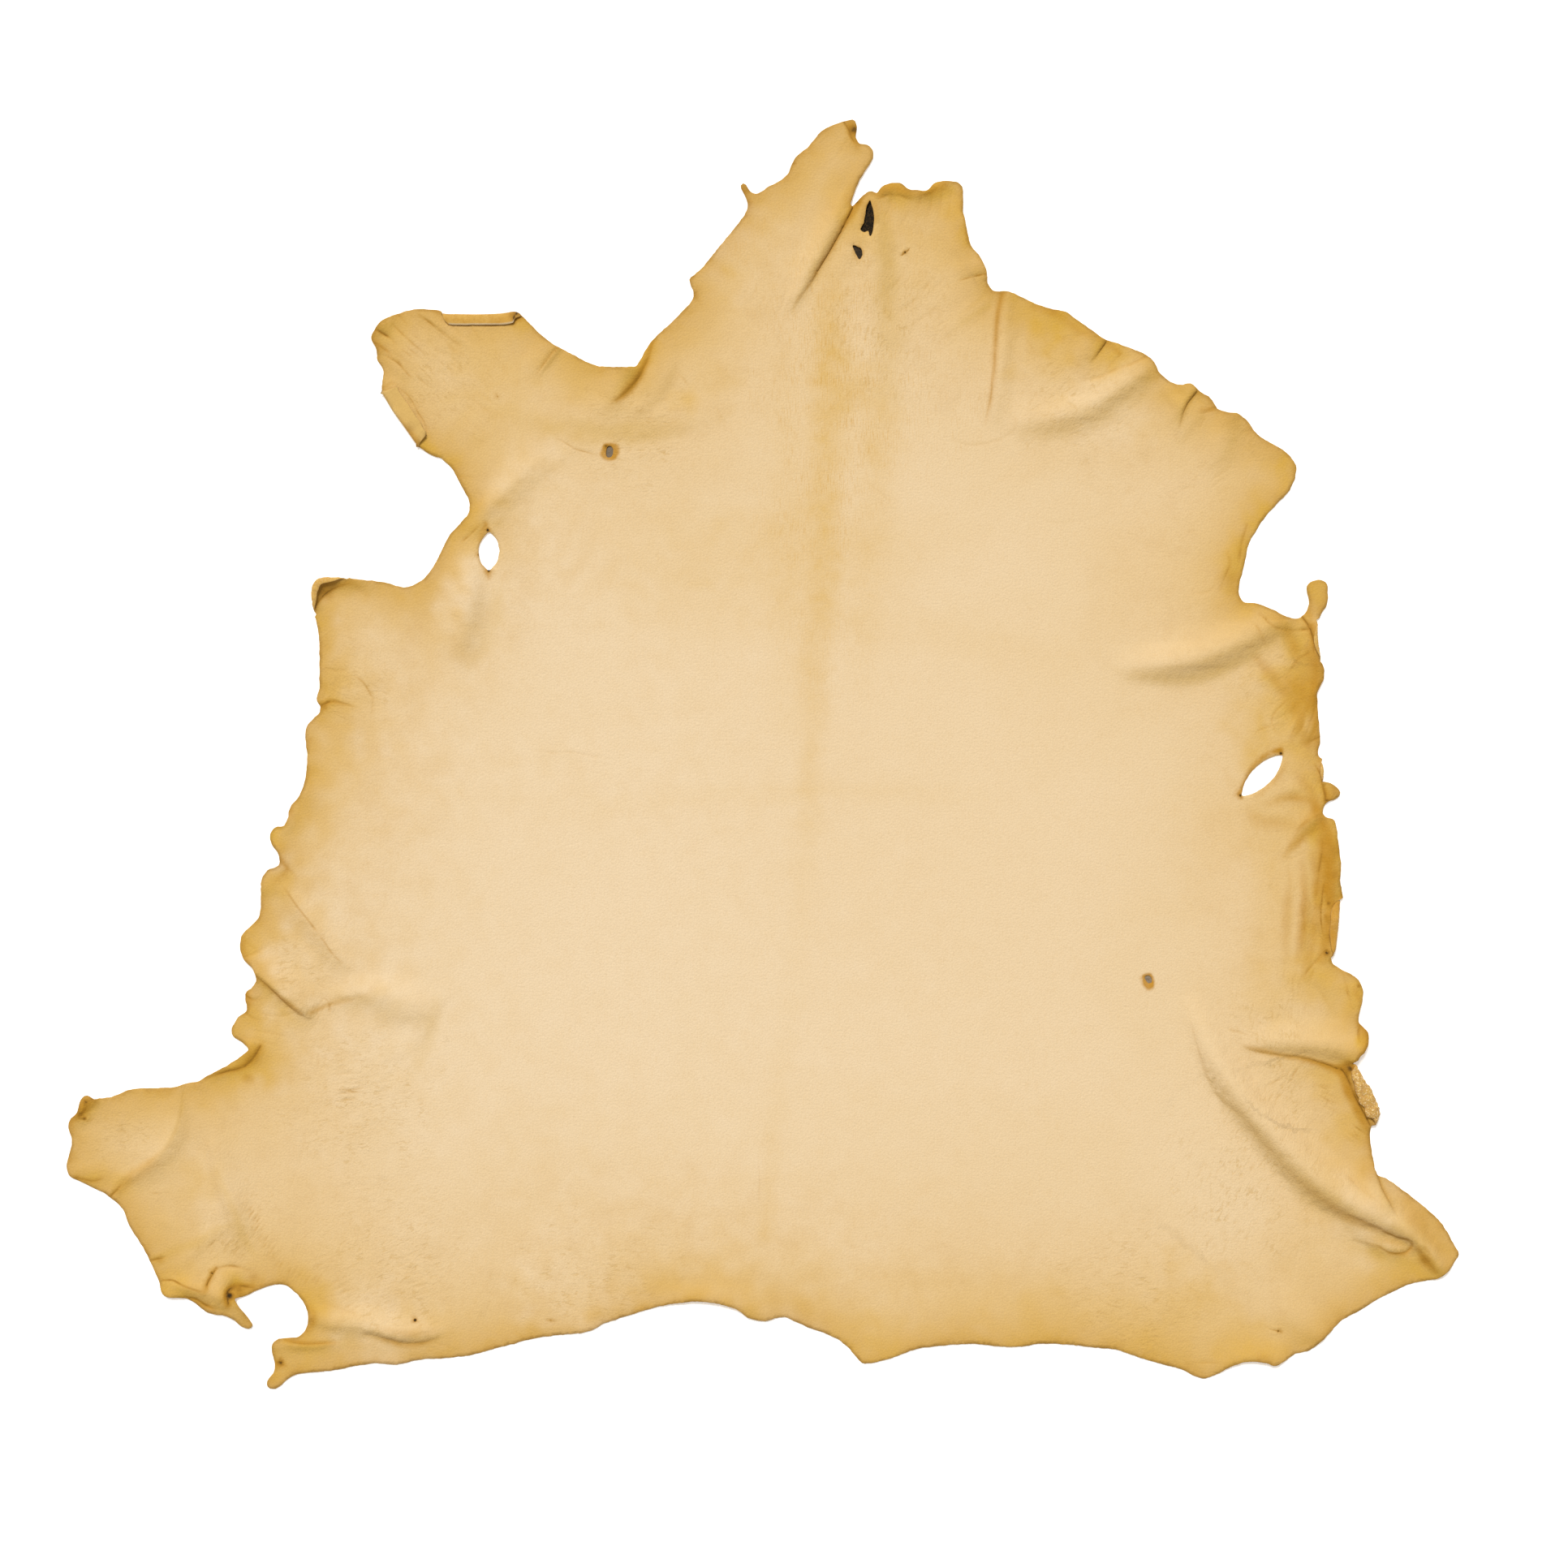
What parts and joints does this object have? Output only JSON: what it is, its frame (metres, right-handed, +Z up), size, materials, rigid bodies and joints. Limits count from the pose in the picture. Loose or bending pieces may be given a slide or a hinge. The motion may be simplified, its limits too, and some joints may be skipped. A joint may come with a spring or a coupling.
{
  "type": "leather hide",
  "caption": "Whole tanned hide with four legs and a neck, uneven edges and low folds, lying grain side up as stock for cutting leather goods.",
  "frame": {"origin": "centre of the bounding box at the level of the surface the hide lies on", "axes": "+X across the hide from its left to its right flank, +Y along the backbone towards the neck, +Z up out of the grain side"},
  "size_m": [1.284, 1.17, 0.0152],
  "materials": {
    "leather": "smoke-gold natural grain, matt, darker towards the rim"
  },
  "bodies": {
    "root": {"hide": "leather"}
  },
  "joints": []
}
